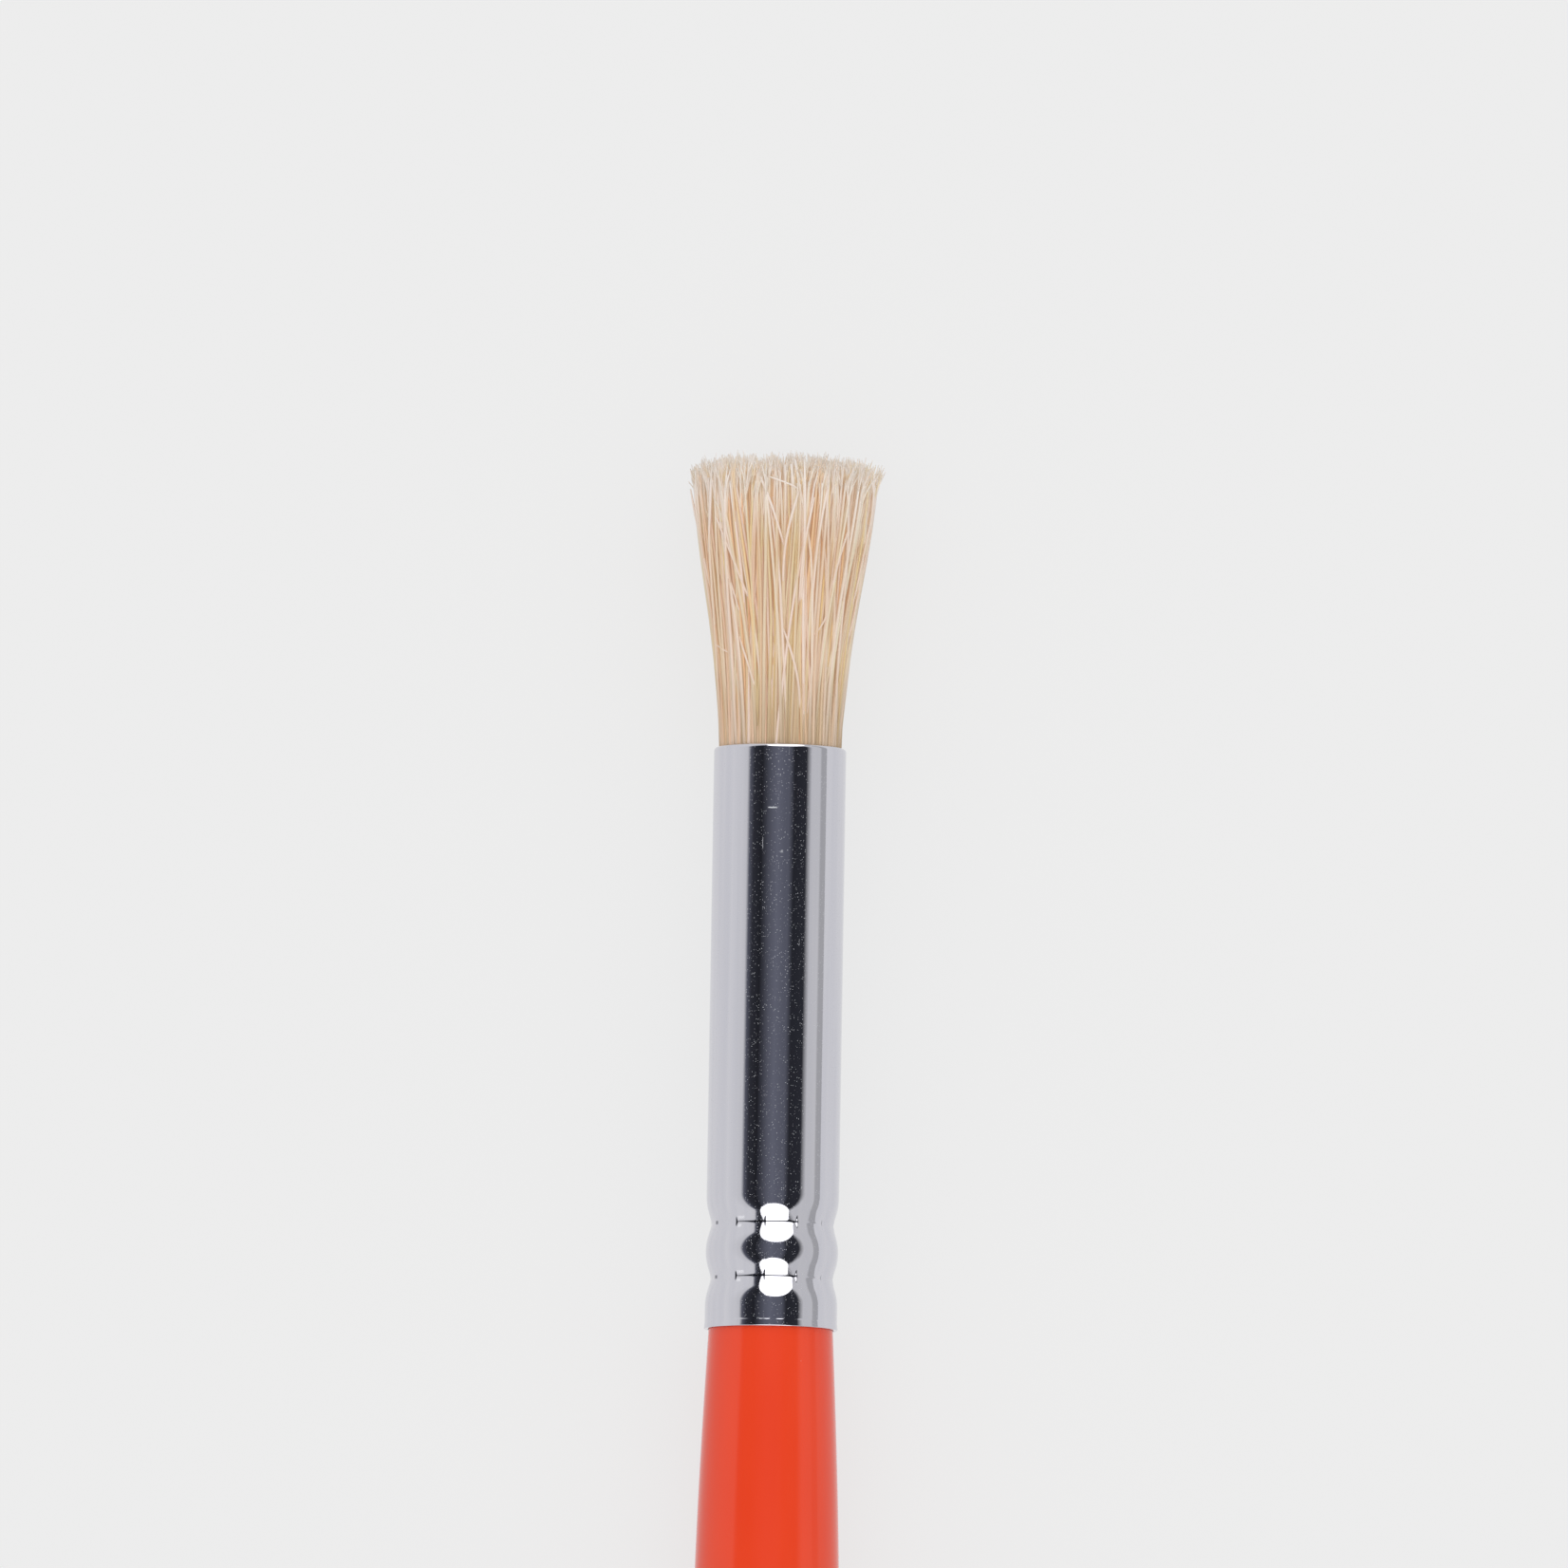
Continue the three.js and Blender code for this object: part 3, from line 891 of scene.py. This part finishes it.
def bristle_heart(material):
    """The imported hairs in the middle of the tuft, too close to tell apart: one streaked, fluted body."""
    top, dome_height = 0.9, 0.1  # shares of the free length
    dome_top = top + 0.005  # the middle of the dome is a small flat cap
    reached = np.linspace(0, top, 24)[:, None]
    angles = round_angles(120)
    flutes = 0.06 * np.sin(31 * angles) + 0.05 * np.sin(47 * angles + 1.3)
    dome = np.sqrt(np.clip((dome_top - reached) / dome_height, 0, 1))
    radius = (hair_radius(reached) - HEART_DEPTH + flutes) * dome
    piece = turned("bristle_heart", radius, FERRULE_LENGTH + reached * HAIR_LENGTH, angles)
    mark_points(piece, along=0.5, tint=0.2, hue=0.5)
    finished(piece, material, "bristle")


def hair_tints(share, crossing, draw):
    """A tint and hue for each hair: deep hairs golden, outer ones paler, and crossing ones the palest."""
    by_depth = np.interp(share, [0.5, 0.92, 1.0], [0.05, 0.28, 0.62])
    usual = by_depth + draw.normal(0, 0.24, len(share))
    tint = np.clip(np.where(crossing, draw.uniform(0.7, 1.0, len(share)), usual), 0, 1)
    return np.stack([tint, draw.uniform(0, 1, len(share))], axis=-1)


def bristles():
    draw = np.random.RandomState(SEED + 1)
    material = bristle_material("hog_bristle", glow=0.135)
    fine = bristle_material("hog_bristle_flags", glow=0.18)
    lines, along, share, crossing = hair_lines(draw)
    tints = hair_tints(share, crossing, draw)
    thin, thick = HAIR_THICKNESS
    # Pale hairs are the stoutest.
    stoutness = np.clip(0.45 * draw.uniform(0, 1, HAIR_COUNT) + 0.6 * tints[:, 0], 0, 1)
    root_radius = (thin + (thick - thin) * stoutness) / 2
    taper = np.interp(along, [0, 0.75, 1], [1, 0.9, 0.6])
    radii = root_radius[:, None] * taper
    flags = split_tips(lines, root_radius, along, tints, draw)
    cut_back = draw.uniform(0.3, 1.6, (HAIR_COUNT, 1))  # where the flags take over from the hair
    lines[:, -1] = lines[:, -1] - unit(lines[:, -1] - lines[:, -2]) * cut_back
    outer_sides, inner_sides, flag_sides = 5, 4, 3
    outer = np.arange(HAIR_COUNT) >= HAIR_COUNT // 2
    outer_hairs = (lines[outer], radii[outer], along[outer], tints[outer], outer_sides)
    inner_hairs = (lines[~outer], radii[~outer], along[~outer], tints[~outer], inner_sides)
    piece = hair_mesh("bristles_outer", [outer_hairs, loose_hairs()], material)
    hair_mesh("bristles_inner", [inner_hairs], material)
    hair_mesh("bristle_flags", [(*flags, flag_sides)], fine)
    bristle_heart(material)
    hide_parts("bristle_tuft")


# ---- CAD nodes that stay -------------------------------------------------------------------------------


def dress(node, material):
    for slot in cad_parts[node].material_slots:
        slot.material = material


def dress_hidden_parts():
    dress("handle_core", wood_material())
    dress("binding_thread", thread_material())
    amber = {"pale": linear(206, 158, 78), "deep": linear(150, 98, 38)}
    dress("resin_plug", cured_material("cured_resin", **amber, grain=1.2, roughness=0.22))
    hide_glue = {"pale": linear(238, 228, 196), "deep": linear(210, 192, 148)}
    dress("tenon_glue", cured_material("wood_glue", **hide_glue, grain=2.5, roughness=0.4))


# ---- Studio --------------------------------------------------------------------------------------------


def studio_floor():
    """A pale light table. Its glow keeps the brush from shading it, and is dimmer for matt surfaces."""
    glow, bounced_glow = 0.72, 0.3
    radius = 5.0  # metres
    angles = round_angles(96)
    points = np.stack([radius * np.cos(angles), radius * np.sin(angles), 0 * angles], axis=-1)
    floor = mesh_object("floor", points, [tuple(range(len(angles)))], smooth=False)
    material, tree, shader = new_material("studio_floor")
    shader.inputs["Base Color"].default_value = grey(0.13)
    shader.inputs["Roughness"].default_value = 1.0
    shader.inputs["Specular IOR Level"].default_value = 0.0
    shader.inputs["Emission Color"].default_value = grey(1.0)
    diffuse = add(tree, "ShaderNodeLightPath").outputs["Is Diffuse Ray"]
    strength = ranged(tree, diffuse, glow, bounced_glow, start=0.0, end=1.0)
    tree.links.new(strength, shader.inputs["Emission Strength"])
    floor.data.materials.append(material)


def softbox(tree, across, forward, middle, half):
    """1 inside a rounded softbox, seen in the directions across and forward of straight up."""
    roundness = 2.3
    soft_edge = 0.07
    total = 0.0
    for value, centre, reach in zip((across, forward), middle, half):
        away = math_node(tree, "ABSOLUTE", math_node(tree, "SUBTRACT", value, centre))
        share = math_node(tree, "POWER", math_node(tree, "DIVIDE", away, reach), roundness)
        total = math_node(tree, "ADD", share, total)
    return ramp_down(tree, total, 1 - soft_edge, 1 + soft_edge)


def ceiling(tree, across, forward, height):
    """The light tent with its dark opening overhead, across which a dim grey panel shows.

    Places run across the opening from -1 to 1, and each stop there is a place and how bright it is.
    """
    middle, half, squareness = 0.05, 0.65, 2.0
    reach = 1.2
    tent_left, tent_right, tent_low = 0.85, 0.72, 0.5
    edge = ((-1.0, tent_left), (-0.845, 0.76), (-0.79, 0.12), (-0.7, 0.036))
    panel = ((-0.5, 0.02), (-0.2, 0.13), (-0.03, 0.165), (0.3, 0.125), (0.44, 0.027))
    far_edge = ((0.74, 0.032), (0.85, tent_right))
    stops = []
    for position, value in (*edge, *panel, *far_edge):
        cool = 1.3 if value < 0.4 else 1.0  # the dark parts are bluish
        colour = (value, value * (1 + (cool - 1) / 6), value * cool, 1)
        stops.append(((position + reach) / (2 * reach), colour))

    offset = math_node(tree, "DIVIDE", math_node(tree, "SUBTRACT", forward, middle), half)
    offset = math_node(tree, "ABSOLUTE", offset)
    left = math_node(tree, "SUBTRACT", 1.0, math_node(tree, "POWER", offset, squareness))
    width = math_node(tree, "POWER", math_node(tree, "MAXIMUM", left, 1e-6), 1 / squareness)
    place = math_node(tree, "DIVIDE", across, width)
    overhead = colour_ramp(tree, ranged(tree, place, 0.0, 1.0, start=-reach, end=reach), stops)
    on_the_right = math_node(tree, "GREATER_THAN", across, 0.0)
    low_on_the_right = math_node(tree, "MULTIPLY", on_the_right, ramp_down(tree, height, 0.19, 0.26))
    return mixed(tree, low_on_the_right, overhead, grey(tent_low))


def studio_light():
    """A bright tent with a dark opening overhead, and a softbox before and behind the opening.

    The tent and the softboxes show in gloss only. Matt surfaces are lit by an even dome.
    """
    softboxes, horizon = grey(2.5), grey(0.8)
    low_dome, top_dome = grey(0.6), grey(1.15)
    world = bpy.data.worlds.new("studio")
    bpy.context.scene.world = world
    world.use_nodes = True
    tree = world.node_tree
    coordinates = add(tree, "ShaderNodeTexCoord")
    parts = add(tree, "ShaderNodeSeparateXYZ", {"Vector": coordinates.outputs["Generated"]})
    across, forward, height = (parts.outputs[axis] for axis in "XYZ")
    front = softbox(tree, across, forward, middle=(0.05, -0.64), half=(0.45, 0.33))
    back = softbox(tree, across, forward, middle=(0.1, 0.635), half=(0.45, 0.34))
    boxes = math_node(tree, "ADD", front, back, clamp=True)
    above = math_node(tree, "GREATER_THAN", height, 0.0)
    lit = mixed(tree, boxes, ceiling(tree, across, forward, height), softboxes)
    reflected = mixed(tree, above, horizon, lit)
    diffuse = add(tree, "ShaderNodeLightPath").outputs["Is Diffuse Ray"]
    even = mixed(tree, height, low_dome, top_dome)
    tree.links.new(mixed(tree, diffuse, reflected, even), tree.nodes["Background"].inputs["Color"])
    world.cycles.sampling_method = "NONE"  # the light comes from all round, so no ray has to be aimed at it


def aim_camera():
    """The camera stands almost overhead, and the frame leaves out most of the handle."""
    elevation = math.radians(84)
    roll = math.radians(0.94)
    distance = 2.0
    frame_width = 118.4 * MM
    aim_below_tips = 24.17
    aim_aside = 0.33
    aim_station = FERRULE_LENGTH + HAIR_LENGTH - aim_below_tips
    target = MOUTH + AXIS * (aim_station * MM) + SIDE * (aim_aside * MM)
    toward = Vector((0, -math.cos(elevation), math.sin(elevation)))
    data = bpy.data.cameras.new("camera")
    data.sensor_width = 36
    data.lens = data.sensor_width * distance / frame_width
    data.clip_end = 20
    camera = bpy.data.objects.new("camera", data)
    bpy.context.scene.collection.objects.link(camera)
    camera.rotation_mode = "QUATERNION"
    camera.rotation_quaternion = toward.to_track_quat("Z", "Y") @ Quaternion((0, 0, 1), roll)
    camera.location = target + toward * distance
    bpy.context.scene.camera = camera


# ---- Assembly ------------------------------------------------------------------------------------------

aim_camera()
studio_floor()
studio_light()
bpy.context.scene.view_settings.view_transform = "Standard"
bpy.context.scene.cycles.diffuse_bounces = LIGHT_BOUNCES
bpy.context.scene.cycles.max_bounces = LIGHT_BOUNCES + 4

ferrule()
lacquered_handle()
bristles()
dress_hidden_parts()
